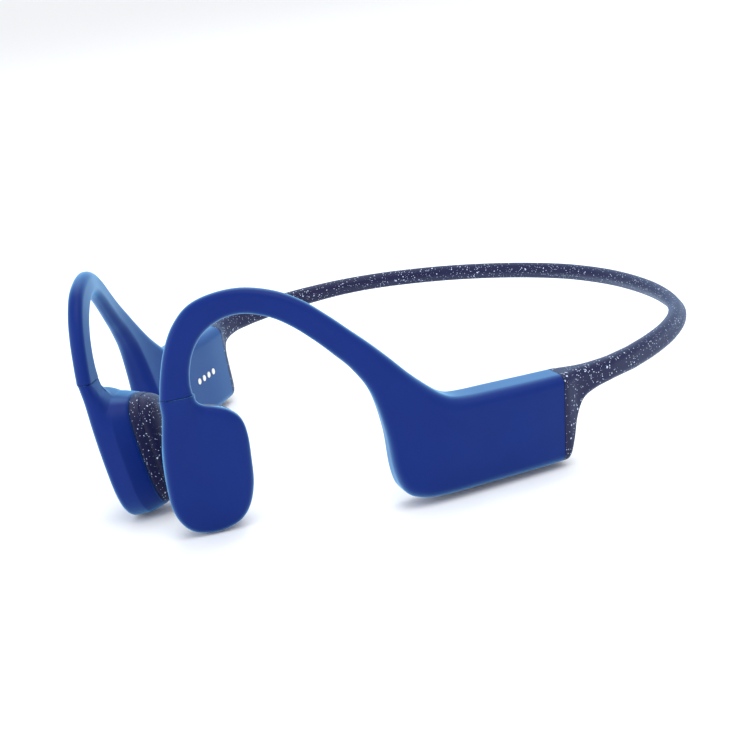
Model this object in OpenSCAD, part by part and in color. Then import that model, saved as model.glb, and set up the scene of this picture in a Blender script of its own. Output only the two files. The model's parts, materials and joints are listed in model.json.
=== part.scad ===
// Open-ear bone conduction headphones: a sprung neckband that ends in two electronics pods,
// each with an over-ear hook that carries a bone conduction transducer in front of the ear.
// Units are millimetres. +X is the wearer's left, -Y the front, +Z up.
// Each side is designed once, on the left, and mirrored across X = 0 for the right.

/* [Neckband] */
// Height of the neckband section at the sides of the head
band_h_side = 5; // [4.6:0.1:5.6]
// Height of the neckband section behind the neck
band_h_rear = 4.5; // [4:0.1:5]
// Width of the neckband section
band_w = 3.2; // [3:0.1:3.6]
// Lean of the section behind the neck, so its broad face looks up and out
band_roll = 37; // [0:1:45]
// Diameter of the sprung memory-metal wire
band_wire_d = 1; // [0.8:0.1:1.1]
// Diameter of the cable between the two pods
band_cable_d = 1; // [0.8:0.1:1.1]
// Sideways distance of each flex point from the middle of the neckband
flex_x = 26; // [20:1:32]

/* [Arms] */
// Lean of pods and hooks, tops outwards
arm_lean = 4; // [0:0.5:6]
// Diameter of the hook's shape-holding wire
hook_wire_d = 0.9; // [0.7:0.1:1]
// Diameter of the transducer lead in the hook
hook_lead_d = 0.8; // [0.6:0.1:0.9]

/* [Pods] */
// Length of the rigid case inside a pod
case_l = 26; // [25:0.5:26.5]
// Height of the rigid case
case_h = 15.6; // [14:0.2:16]
// Thickness of the rigid case, tray and lid together
case_t = 7.2; // [6.8:0.1:7.4]
// Wall of the rigid case
case_wall = 0.8; // [0.6:0.1:1]

/* [Controls] */
// Length of one control key
key_l = 4.4; // [3.6:0.1:4.8]
// Width of one control key
key_w = 2.6; // [2.2:0.1:3]
// Distance between neighbouring keys
key_pitch = 5.6; // [5:0.1:5.6]
// Travel of a key when pressed
key_travel = 0.35; // [0.2:0.05:0.5]

/* [Charging contacts] */
// Diameter of a contact pin
pin_d = 1.5; // [1.2:0.1:1.8]
// Distance between neighbouring pins
pin_pitch = 2.6; // [2.2:0.1:3]

/* [Transducers] */
// Wall of a transducer housing
housing_wall = 1.2; // [1:0.1:1.3]
// Depth of the contact pad in front of the housing
pad_t = 2.4; // [1.6:0.1:2.8]
// Diameter of the magnet yoke
yoke_d = 11.6; // [11:0.1:11.8]
// Diameter of the magnet
magnet_d = 7.4; // [6.8:0.1:7.4]
// Travel of the magnet unit each way
motor_travel = 0.2; // [0.1:0.05:0.3]

/* [Hidden] */

$fn = 48;
tiny = 0.01;
UP = [0, 0, 1];

// The design datum is midway between the two boot crotches; the part's origin is the middle of
// its base, this far in front of the datum and below it.
datum = [0, 0.17, 12.73];

// Colours
royal = [0.13, 0.24, 0.62];
navy = [0.1, 0.1, 0.28];
steel = [0.72, 0.73, 0.75];
copper = [0.76, 0.45, 0.25];
board = [0.05, 0.3, 0.16];
dark = [0.14, 0.14, 0.16];
foil = [0.55, 0.57, 0.6];

// Plan of the arm's mid-surface, one point every plan_step of its own length. The length u
// counts forwards from the boot crotch, so u is negative on the neckband side.
plan_step = 10;
plan_first = -30;
plan_points = [
  [57.8, 29.5], [59.4, 19.6], [60, 9.7], [57.9, -0.2], [54, -9.4], [49.9, -18.5],
  [45.8, -27.6], [41.5, -36.7], [36, -45], [29.3, -52.5], [22.1, -59.4],
  [15.6, -67.1], [10.2, -75.6], [4.6, -83.9]
];

// Ribs of the arm in side view, from the boot to the transducer seam:
// [upper u, upper z, lower u, lower z, half thickness, edge radius]
arm_ribs = [
  [7.2, 7.1, 8.4, -11.8, 4.3, 2.2],
  [14, 7.3, 15, -11.8, 4.6, 2.4],
  [22, 7.6, 25, -11.8, 4.6, 2.4],
  [27, 7.8, 34, -11.8, 4.6, 2.5],
  [30.4, 8.2, 39.7, -11.2, 4.5, 2.6],
  [32.6, 9.1, 43.1, -9.2, 4.3, 2.6],
  [34.9, 10.9, 44.6, -4.6, 3.8, 2.6],
  [38.6, 14.5, 45.2, 4, 3.2, 2.4],
  [42.2, 18.6, 46.9, 12.4, 2.6, 2.1],
  [45.7, 22.4, 49.8, 17.9, 2.2, 1.8],
  [49.2, 25.9, 52.8, 21.6, 1.9, 1.6],
  [52.8, 29.5, 56, 25.1, 1.75, 1.5],
  [57, 33.2, 59.6, 28.4, 1.7, 1.5],
  [62, 36, 63.4, 30.9, 1.65, 1.5],
  [68, 37.4, 68.2, 32.3, 1.6, 1.45],
  [74, 37.1, 72.6, 31.9, 1.6, 1.45],
  [79, 35.4, 76.4, 29.9, 1.6, 1.45],
  [82.6, 31.9, 78.9, 27, 1.6, 1.45],
  [85, 27.2, 80.3, 23.7, 1.6, 1.45],
  [86.5, 22, 80.9, 20.4, 1.6, 1.45],
  [87.3, 18, 80.8, 18, 1.6, 1.45]
];

// Ribs of the boot, from its pod end back to the neckband, in the same form
boot_ribs = [
  [7.1, 7.1, 8.3, -11.8, 4.3, 2.2],
  [6.5, 7.1, 7.2, -11.1, 4, 2.1],
  [5.2, 7.1, 5.6, -7.3, 3.4, 1.9],
  [3.5, 7.1, 4, -3.2, 2.8, 1.8],
  [1.3, 7, 1.9, -0.2, 2.3, 1.7],
  [-2, 6.9, -1.7, 1.3, 2, 1.6],
  [-6.6, 6.9, -6.5, 1.9, 1.75, 1.5]
];

// Neckband centre line from the left boot to the middle behind the neck
band_points = [
  [60.3, 13, 4.4], [59.6, 22, 4.5], [57.6, 31.5, 4.5], [53.8, 41.2, 4.5], [47.8, 50, 4.4],
  [38.9, 57.9, 4.3], [29, 64, 4.2], [17, 69.2, 4], [5, 71.9, 3.9], [-7, 71.7, 3.9]
];

// Outline of the transducer housing's outer face, with the stub that meets the hook: [u, z]
face_outline = [
  [80.9, 20.4], [80.4, 16.6], [79.2, 15.1], [77, 14.2], [74.4, 12.9], [72.3, 10.6], [71.5, 7],
  [71.5, 1.6], [71.8, -3.6], [73, -8.2], [75.2, -11.3], [78.4, -12.8], [81.8, -13.1],
  [85.2, -12.1], [87.5, -9.6], [88.7, -5.8], [88.9, -1.2], [88.7, 4], [88.3, 9], [87.8, 14],
  [87.2, 20.4]
];
// The same points behind the hook, where the housing is deep
body_outline = [
  [82.6, 13.3], [81.2, 13.4], [79.2, 13.3], [77, 12.9], [74.5, 11.9], [72.4, 9.9], [71.5, 6.6],
  [71.5, 1.6], [71.8, -3.6], [73, -8.2], [75.2, -11.3], [78.4, -12.8], [81.8, -13.1],
  [85.2, -12.1], [87.5, -9.6], [88.7, -5.8], [88.9, -1.2], [88.7, 3.6], [88.2, 7.4],
  [87.2, 10.6], [85.2, 12.7]
];
// The same points on the contact pad
pad_outline = [
  [82, 11], [80.8, 11.2], [79, 11.1], [76.8, 10.6], [74.6, 9.6], [73, 7.9], [72.4, 5.4],
  [72.3, 1.2], [72.6, -3.8], [73.7, -7.6], [75.6, -10.2], [78.2, -11.5], [80.8, -11.6],
  [82.8, -10.6], [84.1, -8.4], [84.8, -5.3], [85, -1.2], [85, 2.9], [84.8, 6.1], [84.3, 8.4],
  [83.4, 10.1]
];

// Places along the arm
pod_u = 22.4;
pod_yaw = 23.9;
pod_z = -2.2;
housing_u = 80.4;
housing_yaw = 34.5;
housing_lean = 9.5;
seam_z = 18;
seam_gap = 0.2;
face_x = 1.6;
// Half height and half width of the bores for wire and cable
hook_bore = [1.6, 0.75];
band_bore = [1.5, 0.75];
strand_shift = 0.75;
// Running gap round the parts that move, and the gap round the parts that don't
fit = 0.15;
// The rounded end of the middle sleeve, and the gap in front of it, at each flex point
nose = 2.2;
flex_gap = 0.4;

// Places of the controls and contacts in the pod's frame, which has +X out of the pod's outer
// face, +Y rearwards and +Z up
key_top = -8.05 - key_travel;
key_face = -9.4;
groove_z = -9.1;
stem_top = -7.05;
stem_d = 1.4;
light_y = 11.4;
light_d = 1.2;
pin_y = 1.9;
pin_face = -4.7;
board_x = -0.5;
board_t = 0.8;

// Places of the driver in the transducer's frame, which has +X out of the outer face, +Y
// rearwards, +Z up and X = 0 on the hook's mid-surface
motor_y = 0.2;
motor_z = -0.5;
yoke_back = face_x - housing_wall - 0.45 - motor_travel;
yoke_front = -3.6;
back_plate_t = 0.8;
magnet_t = 2.3;
yoke_wall = 0.9;
coil_d = 8.6;
bracket_x = -5;
cover_x = -7.8;

// ---------- points, splines and sections ----------

function unit(v) = v / norm(v);
function before(p, i) = i == 0 ? 2 * p[0] - p[1] : p[i - 1];
function after(p, i) = i + 2 > len(p) - 1 ? 2 * p[len(p) - 1] - p[len(p) - 2] : p[i + 2];
function cubic(a, b, c, d, t) =
  0.5 * (2 * b + (c - a) * t + (2 * a - 5 * b + 4 * c - d) * t * t
  + (3 * b - a - 3 * c + d) * t * t * t);
// Row k of a table, k running from 0 to the last row, with a smooth curve between rows
function row_at(p, k) =
  let (i = max(0, min(len(p) - 2, floor(k))))
  cubic(before(p, i), p[i], p[i + 1], after(p, i), k - i);
function rows(p, steps) = [for (k = [0 : 1 / steps : len(p) - 1 + tiny]) row_at(p, k)];
function flat(lists) = [for (l = lists, p = l) p];
function reversed(l) = [for (i = [len(l) - 1 : -1 : 0]) l[i]];
function mix(a, b, t) = a + (b - a) * t;

// The arm's mid-surface, bent to its plan and leaned
function plan(u) = row_at(plan_points, (u - plan_first) / plan_step);
function plan_out(u) =
  let (t = unit(plan(u + 1) - plan(u - 1)))
  [-t[1], t[0]];
function bend(u, z, off) =
  let (q = plan(u) + plan_out(u) * (off + z * tan(arm_lean)))
  [q[0], q[1], z];

// A rib is [centre, half height vector, half thickness vector, edge radius]
function arm_rib(r) =
  let (top = bend(r[0], r[1], 0), bottom = bend(r[2], r[3], 0), n = plan_out((r[0] + r[2]) / 2))
  [(top + bottom) / 2, (top - bottom) / 2, [n[0], n[1], 0] * r[4], r[5]];

// Neckband ribs: k counts the rows of band_points from the boot. The section leans more and
// gets lower on its way to the middle.
function band_point(k) = row_at(band_points, k);
function band_share(k) =
  let (t = min(1, max(0, k / 4)))
  t * t * (3 - 2 * t);
function band_rib(k, scale = 1) =
  let (t = unit(band_point(k + 0.05) - band_point(k - 0.05)), out = unit(cross(t, UP)),
  up = unit(cross(out, t)), roll = band_roll * band_share(k),
  h = mix(band_h_side, band_h_rear, band_share(k)) / 2 * scale, w = band_w / 2 * scale)
  [band_point(k), (up * cos(roll) - out * sin(roll)) * h,
  (out * cos(roll) + up * sin(roll)) * w, w * 0.92];
function mirrored(rib) =
  let (m = [-1, 1, 1])
  [[for (i = [0 : 2]) rib[0][i] * m[i]], [for (i = [0 : 2]) rib[1][i] * m[i]],
  [for (i = [0 : 2]) rib[2][i] * m[i]], rib[3]];
// The same rib with a half height and half thickness of its own
function slim(rib, size) = [rib[0], unit(rib[1]) * size[0], unit(rib[2]) * size[1], min(size) * 0.8];

// Points of a rib: a rectangle with round corners, with arc + 1 points to each corner
function rib_ring(rib, arc) =
  let (a = norm(rib[1]), b = norm(rib[2]), r = min(rib[3], a * 0.96, b * 0.96))
  [for (q = [0 : 3], i = [0 : arc])
    let (g = 90 * (q + i / arc), x = (q == 0 || q == 3 ? 1 : -1) * (a - r),
    y = (q < 2 ? 1 : -1) * (b - r))
    rib[0] + rib[1] / a * (x + r * cos(g)) + rib[2] / b * (y + r * sin(g))];
// Points of a round wire on a rib, moved up the rib by shift
function wire_ring(rib, d, shift) =
  let (m = unit(rib[1]), w = unit(rib[2]))
  [for (i = [0 : 7]) rib[0] + m * (shift + d / 2 * cos(45 * i)) + w * d / 2 * sin(45 * i)];

// ---------- surfaces ----------

function turned(f, turn) = turn ? reversed(f) : f;
function wall_faces(count, n, first, turn) =
  [for (i = [0 : count - 2], j = [0 : n - 1], h = [0, 1])
    let (a = first + i * n + j, b = first + i * n + (j + 1) % n)
    turned(h == 0 ? [b + n, b, a] : [a + n, b + n, a], turn)];

// A closed solid through a row of rings
module loft(rings, turn = false) {
  n = len(rings[0]);
  last = (len(rings) - 1) * n;
  polyhedron(flat(rings), concat(wall_faces(len(rings), n, 0, turn),
    [turned([for (j = [0 : n - 1]) j], turn),
    turned([for (j = [n - 1 : -1 : 0]) last + j], turn)]));
}

// A hollow solid between outer and inner rings, open at both ends
module pipe(outer, inner) {
  n = len(outer[0]);
  inside = len(outer) * n;
  last = (len(outer) - 1) * n;
  ends = [for (j = [0 : n - 1], h = [0, 1])
    let (k = (j + 1) % n)
    h == 0 ? [j, k, inside + k] : [j, inside + k, inside + j]];
  polyhedron(concat(flat(outer), flat(inner)), concat(wall_faces(len(outer), n, 0, false),
    wall_faces(len(outer), n, inside, true), ends,
    [for (f = ends) [f[2] + last, f[1] + last, f[0] + last]]));
}

// A wire or cable of one diameter along a row of ribs
module strand(ribs, d, shift, turn = false) {
  loft([for (r = ribs) wire_ring(r, d, shift)], turn);
}

// ---------- flat outlines of the transducers ----------

function closed_rows(p, steps) =
  let (n = len(p))
  [for (i = [0 : n - 1], s = [0 : steps - 1])
    cubic(p[(i + n - 1) % n], p[i], p[(i + 1) % n], p[(i + 2) % n], s / steps)];
function local(p) = [for (q = closed_rows(p, 2)) [housing_u - q[0], q[1]]];
face_local = local(face_outline);
body_local = local(body_outline);
pad_local = local(pad_outline);
// The housing's outline at depth x: face, then body, then pad, blending from one to the next
function back_at(x) = mix(body_local, pad_local, min(1, max(0, (-3.2 - x) / 5.6)));
function outline_at(x) =
  x > -1.4 ? face_local
  : x > -3.2 ? mix(face_local, body_local, (-1.4 - x) / 1.8)
  : back_at(x);
// The outline moved inwards by d, each point along its own normal
function inset(p, d) =
  let (n = len(p))
  [for (i = [0 : n - 1])
    let (t = unit(p[(i + 1) % n] - p[(i + n - 1) % n]))
    p[i] + [t[1], -t[0]] * d];
// A solid through layers [x, inset] of the housing's outline, outermost first. A hollow keeps
// out of the stub.
module layered(layers, hollow = false) {
  loft([for (l = layers)
    [for (q = inset(hollow ? back_at(l[0]) : outline_at(l[0]), l[1])) [l[0], q[0], q[1]]]]);
}

// ---------- frames ----------

module side(right) {
  translate(datum)
    if (right) mirror([1, 0, 0]) children();
    else children();
}
module at_pod() {
  translate(bend(pod_u, pod_z, 0)) rotate([0, 0, -pod_yaw]) rotate([0, arm_lean, 0]) children();
}
module at_housing() {
  translate(bend(housing_u, seam_z, 0)) rotate([0, 0, -housing_yaw])
    rotate([0, housing_lean, 0]) translate([0, 0, -seam_z]) children();
}
module at_motor() {
  at_housing() translate([0, motor_y, motor_z]) rotate([0, 90, 0]) children();
}
// A block of [x, y, z] whose edges along X are round
module round_box(size, r) {
  rotate([90, 0, 90])
    linear_extrude(size[0], center = true)
      hull()
        for (y = [-1, 1], z = [-1, 1])
          translate([y * (size[1] / 2 - r), z * (size[2] / 2 - r)])
            circle(r, $fn = 24);
}

// ---------- neckband ----------

flex_k = lookup(flex_x, [for (k = [8 : -0.05 : 4]) [band_point(k)[0], k]]);
middle_k = lookup(0, [for (k = [9 : -0.05 : 7]) [band_point(k)[0], k]]);
// Length of one step of k at the flex point
flex_step = norm(band_point(flex_k + 0.5) - band_point(flex_k - 0.5));
side_end = flex_k - (nose + flex_gap) / flex_step;
boot_rows = [for (r = rows(boot_ribs, 2)) arm_rib(r)];
side_rows = concat(boot_rows, [for (k = [0 : 0.5 : side_end - 0.2]) band_rib(k)],
  [band_rib(side_end)]);
// Half of the middle sleeve: its rounded nose, then on to the middle
nose_rows = [for (a = [80, 60, 40, 20])
  band_rib(flex_k - nose / flex_step * sin(a), max(0.1, cos(a)))];
half_rows = concat(nose_rows, [for (i = [0 : 4]) band_rib(mix(flex_k, middle_k, i / 5))]);
centre_rows = concat(half_rows, [band_rib(middle_k)], reversed([for (r = half_rows) mirrored(r)]));
// The wire and cable start just inside the pod's case
pod_entry = arm_rib([10.4, 2, 10.4, -6.4, 2, 1.8]);
half_path = concat([pod_entry], [for (r = [1 : 1 : len(boot_ribs) - 1]) arm_rib(boot_ribs[r])],
  [for (i = [0 : 15]) band_rib(middle_k * i / 16)]);
band_path = concat(half_path, [band_rib(middle_k)], reversed([for (r = half_path) mirrored(r)]));

module neckband_centre_sleeve() {
  color(navy) translate(datum)
    difference() {
      loft([for (r = centre_rows) rib_ring(r, 3)]);
      loft([for (r = band_path) rib_ring(slim(r, band_bore), 2)]);
    }
}

module neckband_sleeve(right) {
  color(navy) side(right)
    pipe([for (r = side_rows) rib_ring(r, 3)],
      [for (r = side_rows) rib_ring(slim(r, band_bore), 3)]);
}

module neckband_wire() {
  color(steel) translate(datum) strand(band_path, band_wire_d, strand_shift);
}

module neckband_cable() {
  color(dark) translate(datum) strand(band_path, band_cable_d, -strand_shift);
}

// ---------- arm skin, hook wire and lead ----------

skin_rows = [for (r = rows(arm_ribs, 2)) arm_rib(r)];
// The bore runs from the pod's cavity to just past the seam
leg_end = [87.5, 16, 80.9, 16, 2, 1.8];
bore_rows = concat([for (k = [3.8 : 0.76 : 19]) arm_rib(row_at(arm_ribs, k))],
  [arm_rib(arm_ribs[20]), arm_rib(leg_end)]);

module hook_bore() {
  loft([for (r = bore_rows) rib_ring(slim(r, hook_bore), 2)], true);
}

module arm_skin(right) {
  color(royal) side(right)
    difference() {
      loft([for (r = skin_rows) rib_ring(r, 4)], true);
      at_pod() round_box([case_t, case_l, case_h] + 2 * fit * [1, 1, 1], 2);
      hook_bore();
      loft([for (i = [0 : 2]) rib_ring(slim(half_path[i], band_bore), 2)]);
      if (right) {
        at_pod() key_openings();
        at_pod() pin_row(pin_d + 2 * fit, pin_face - 1, 0);
      }
    }
}

module hook_wire(right) {
  color(steel) side(right) strand(bore_rows, hook_wire_d, strand_shift, true);
}

module hook_lead(right) {
  color(dark) side(right) strand(bore_rows, hook_lead_d, -strand_shift, true);
}

// ---------- pod case ----------

lid_x = -2;
module pod_tray(right) {
  color(dark) side(right) at_pod()
    difference() {
      translate([(case_t / 2 + lid_x) / 2, 0, 0])
        round_box([case_t / 2 - lid_x, case_l, case_h], 1.8);
      translate([(case_t / 2 - case_wall + lid_x - 1) / 2, 0, 0])
        round_box([case_t / 2 - case_wall - lid_x + 1, case_l - 2 * case_wall,
          case_h - 2 * case_wall], 1);
      // Way in for the neckband wire and cable, and out for the hook wire and lead
      translate([0, case_l / 2, 0]) cube([3.2, 4, 6], center = true);
      translate([0, -case_l / 2, 0.6]) cube([3.2, 4, 6], center = true);
      if (right) {
        key_places() cylinder(d = stem_d + 0.4, h = 6, center = true);
        light_place() cylinder(d = light_d + 0.3, h = 8, center = true);
      }
    }
}

module pod_lid(right) {
  lid_front = lid_x - 0.05;
  color(dark) side(right) at_pod()
    difference() {
      translate([(lid_front - case_t / 2) / 2, 0, 0])
        round_box([case_t / 2 + lid_front, case_l, case_h], 1.8);
      translate([lid_front - 0.2, 0, 0])
        round_box([1.1, case_l - 2 * case_wall, case_h - 2 * case_wall], 1);
      if (right) pin_row(pin_d + 2 * fit, pin_face - 1, 0);
    }
}

// ---------- left pod: battery ----------

battery_size = [4, 20, 12.4];
battery_y = 1.8;
module battery() {
  color(foil) side(false) at_pod() translate([0.7, battery_y, 0]) round_box(battery_size, 1);
}
module battery_foam() {
  color(dark) side(false) at_pod() translate([-2.05, battery_y, 0])
    cube([1.2, battery_size[1] - 1, battery_size[2] - 1], center = true);
}
module protection_board() {
  color(board) side(false) at_pod() translate([0, -10.2, 0])
    union() {
      translate([board_x, 0, -1.5]) cube([board_t, 1.8, 10], center = true);
      translate([0.4, 0, -4]) cube([1, 1.4, 3], center = true);
    }
}

// ---------- right pod: board, controls, contacts ----------

key_ys = [for (i = [-1.5 : 1 : 1.5]) i * key_pitch];
module key_places() {
  for (y = key_ys) translate([0, y, groove_z]) children();
}
module light_place() {
  translate([0, light_y, groove_z]) children();
}
module key_openings() {
  translate([0, 0, groove_z - 1]) cube([key_w + 1.6, case_l - 1, 2], center = true);
  key_places() cube([key_w + 2 * fit, key_l + 2 * fit, 4], center = true);
  light_place() cylinder(d = light_d + 0.3, h = 4, center = true);
}
module key(index) {
  color(royal) side(true) at_pod() translate([0, key_ys[index], 0])
    union() {
      translate([0, 0, (key_face + key_top) / 2])
        cube([key_w, key_l, key_top - key_face], center = true);
      translate([0, 0, key_top - 0.1]) cylinder(d = stem_d, h = stem_top - key_top + 0.1);
    }
}
module key_seal() {
  color(dark) side(true) at_pod() translate([0, 0, -6.86]) cube([3, 21, 0.24], center = true);
}
module key_switches() {
  color(steel) side(true) at_pod()
    for (y = key_ys)
      translate([board_x, y, -5.8]) cube([3, 3.4, 1.6], center = true);
}
module main_board() {
  color(board) side(true) at_pod() translate([board_x, 0, 0.9])
    cube([board_t, 23, 11.6], center = true);
}
module board_chips() {
  chip_x = board_x + board_t / 2 + 0.5;
  color(dark) side(true) at_pod() {
    translate([chip_x, -6, 1]) cube([1, 7, 7], center = true);
    translate([chip_x, 4.5, 1]) cube([1, 9, 8], center = true);
    translate([chip_x, -0.9, 4.5]) cube([1, 1.4, 2], center = true);
    translate([board_x - board_t / 2 - 0.4, -9.5, 2]) cube([0.8, 3.2, 2.6], center = true);
  }
}
module status_light_pipe() {
  color("white", 0.6) side(true) at_pod() translate([0, light_y, key_face])
    cylinder(d = light_d, h = 2.9);
}
module pin_row(d, from, to) {
  for (i = [-1.5 : 1 : 1.5])
    translate([from, pin_y + i * pin_pitch, 0]) rotate([0, 90, 0]) cylinder(d = d, h = to - from);
}
module charging_pins() {
  color(steel) side(true) at_pod() pin_row(pin_d, pin_face, board_x - board_t / 2);
}
module charging_pin_block() {
  color(dark) side(true) at_pod()
    difference() {
      translate([-2.1, pin_y, 0]) cube([1.2, 3 * pin_pitch + 3.4, 3.4], center = true);
      pin_row(pin_d + 0.04, pin_face, 0);
    }
}

// ---------- transducer ----------

pad_front = -3.2 - 5.6;
// The pad laps over the housing's back from here on
skirt_x = -6.4;
skirt_t = 1;
module transducer_housing(right) {
  color(royal) side(right)
    difference() {
      at_housing()
        layered([[face_x, 1.4], [face_x - 0.5, 0.6], [face_x - 1.3, 0], [-1.4, 0], [-3.2, 0],
          [-5, 0], [skirt_x, 0.1], [skirt_x - 0.05, skirt_t], [pad_front, skirt_t]]);
      at_housing()
        layered([[face_x - housing_wall, housing_wall + 0.4], [-3.2, housing_wall],
          [skirt_x + 1.4, housing_wall], [skirt_x + 0.4, skirt_t + 0.8],
          [pad_front - 1, skirt_t + 0.8]], true);
      translate([0, 0, seam_z - seam_gap + 5]) translate(bend(84, 0, 0))
        cube([20, 20, 10], center = true);
      // Way in for the hook's wire and lead
      at_housing() translate([0, housing_u - 84.2, seam_z - 2]) cube([1.8, 3.6, 11], center = true);
    }
}

module transducer_cover(right) {
  color(dark) side(right) at_housing()
    difference() {
      layered([[cover_x, skirt_t + 0.8 + fit], [pad_front, skirt_t + 0.8 + fit]]);
      translate([0, motor_y, motor_z]) rotate([0, 90, 0]) cylinder(d = 5.6, h = 30, center = true);
    }
}

module contact_pad(right) {
  color(navy) side(right) at_housing()
    difference() {
      layered([[skirt_x - 0.1, 0.2], [skirt_x - 0.4, 0], [pad_front + 0.6, 0.1], [pad_front, 0.4],
        [pad_front - pad_t * 0.4, 1.1], [pad_front - pad_t * 0.7, 2.1],
        [pad_front - pad_t * 0.9, 3.3], [pad_front - pad_t, 4.6]]);
      layered([[skirt_x + 0.5, skirt_t - 0.04], [pad_front - 0.04, skirt_t - 0.04]]);
    }
}

module yoke(right) {
  color(steel) side(right) at_motor()
    difference() {
      translate([0, 0, yoke_front]) cylinder(d = yoke_d, h = yoke_back - yoke_front);
      translate([0, 0, yoke_front - 1])
        cylinder(d = yoke_d - 2 * yoke_wall, h = yoke_back - back_plate_t - yoke_front + 1);
    }
}

module magnet(right) {
  color(foil) side(right) at_motor() translate([0, 0, yoke_back - back_plate_t - magnet_t])
    cylinder(d = magnet_d, h = magnet_t);
}

module voice_coil(right) {
  color(copper) side(right) at_motor() translate([0, 0, bracket_x])
    difference() {
      cylinder(d = coil_d + 0.7, h = 3.6);
      translate([0, 0, -1]) cylinder(d = coil_d - 0.7, h = 6);
    }
}

// A thin plate with two lugs that reach the housing's walls
spring_t = 0.2;
spring_l = 14;
module spring_plate(right) {
  color(steel) side(right) at_motor() translate([0, 0, yoke_back + 0.05])
    difference() {
      union() {
        cylinder(d = yoke_d - 0.4, h = spring_t);
        translate([-1.5, -spring_l / 2, 0]) cube([3, spring_l, spring_t]);
      }
      for (a = [0, 120, 240])
        rotate(a) translate([3.6, 0, -1]) cylinder(d = 2.6, h = 3);
    }
}

module drive_bracket(right) {
  color(steel) side(right) at_motor()
    union() {
      translate([0, 0, bracket_x - 0.8]) cylinder(d = coil_d + 0.7, h = 0.8);
      translate([0, 0, pad_front]) cylinder(d = 4.8, h = bracket_x - pad_front - 0.1);
    }
}

// ---------- the parts ----------

neckband_centre_sleeve();
neckband_wire();
neckband_cable();
neckband_sleeve(false);  // left_neckband_sleeve
neckband_sleeve(true);  // right_neckband_sleeve
arm_skin(false);  // left_arm_skin
arm_skin(true);  // right_arm_skin
hook_wire(false);  // left_hook_wire
hook_wire(true);  // right_hook_wire
hook_lead(false);  // left_hook_lead
hook_lead(true);  // right_hook_lead
pod_tray(false);  // left_pod_tray
pod_tray(true);  // right_pod_tray
pod_lid(false);  // left_pod_lid
pod_lid(true);  // right_pod_lid
battery();
battery_foam();
protection_board();
main_board();
board_chips();
key_switches();
key_seal();
key(0);  // volume_up_key
key(1);  // volume_down_key
key(2);  // mode_key
key(3);  // play_key
status_light_pipe();
charging_pins();
charging_pin_block();
transducer_housing(false);  // left_transducer_housing
transducer_housing(true);  // right_transducer_housing
transducer_cover(false);  // left_transducer_cover
transducer_cover(true);  // right_transducer_cover
contact_pad(false);  // left_contact_pad
contact_pad(true);  // right_contact_pad
yoke(false);  // left_yoke
yoke(true);  // right_yoke
magnet(false);  // left_magnet
magnet(true);  // right_magnet
voice_coil(false);  // left_voice_coil
voice_coil(true);  // right_voice_coil
spring_plate(false);  // left_spring_plate
spring_plate(true);  // right_spring_plate
drive_bracket(false);  // left_drive_bracket
drive_bracket(true);  // right_drive_bracket
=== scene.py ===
"""Looks for open-ear bone conduction headphones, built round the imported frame.

Lengths in the tables are millimetres in the level design frame; every mesh is made in metres in
the frame's own axes: +X the wearer's left, -Y the front, +Z up.
"""

import json
import logging
import math
from dataclasses import dataclass
from enum import Enum

import bmesh
import bpy
import numpy as np
from mathutils import Matrix


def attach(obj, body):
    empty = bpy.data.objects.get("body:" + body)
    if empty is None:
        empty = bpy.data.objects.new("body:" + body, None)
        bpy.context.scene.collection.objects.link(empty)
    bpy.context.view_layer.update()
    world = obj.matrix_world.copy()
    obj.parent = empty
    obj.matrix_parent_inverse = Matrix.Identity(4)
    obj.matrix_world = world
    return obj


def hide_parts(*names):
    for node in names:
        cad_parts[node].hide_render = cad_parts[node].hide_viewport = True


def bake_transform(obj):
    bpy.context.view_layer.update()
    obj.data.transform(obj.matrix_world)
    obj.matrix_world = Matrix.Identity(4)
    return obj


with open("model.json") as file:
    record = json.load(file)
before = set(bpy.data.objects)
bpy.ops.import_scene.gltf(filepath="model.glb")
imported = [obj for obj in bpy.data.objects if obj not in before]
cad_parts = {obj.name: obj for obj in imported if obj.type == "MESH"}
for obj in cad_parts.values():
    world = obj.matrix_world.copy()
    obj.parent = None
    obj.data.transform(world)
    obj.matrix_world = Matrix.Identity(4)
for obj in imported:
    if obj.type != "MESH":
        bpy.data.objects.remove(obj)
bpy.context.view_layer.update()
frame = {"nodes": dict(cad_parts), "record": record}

LOG = logging.getLogger("headphones")
MM = 0.001
# From the design frame to the frame's origin
DATUM = np.array([0.0, 0.17, 12.73])
UP = np.array([0.0, 0.0, 1.0])
MIRROR = np.array([-1.0, 1.0, 1.0])


class Side(Enum):
    """Which of the wearer's sides a piece is on."""

    LEFT = "left"
    RIGHT = "right"


class Pattern(Enum):
    """The surface patterns, one shader node group each."""

    GRAIN = "moulded grain"
    FLECKS = "pale flecks"
    BRUSHED = "brushed metal"
    WINDING = "wound wire"
    TRACES = "board traces"
    CRINKLE = "foil crinkle"


# ---------- curves ----------


def cubic_rows(table: np.ndarray, k: np.ndarray) -> np.ndarray:
    """Catmull-Rom curve through the rows of a table, its ends extended in a straight line.

    Args:
        table: the rows, one point each.
        k: places on the curve, counted in rows.

    Returns:
        One row for each place.
    """
    ends = np.vstack([2 * table[0] - table[1], table, 2 * table[-1] - table[-2]])
    i = np.clip(np.floor(k).astype(int), 0, len(table) - 2)
    t = (k - i)[:, None]
    a, b, c, d = ends[i], ends[i + 1], ends[i + 2], ends[i + 3]
    bend = (2 * a - 5 * b + 4 * c - d) * t**2 + (3 * b - a - 3 * c + d) * t**3
    return 0.5 * (2 * b + (c - a) * t + bend)


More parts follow.
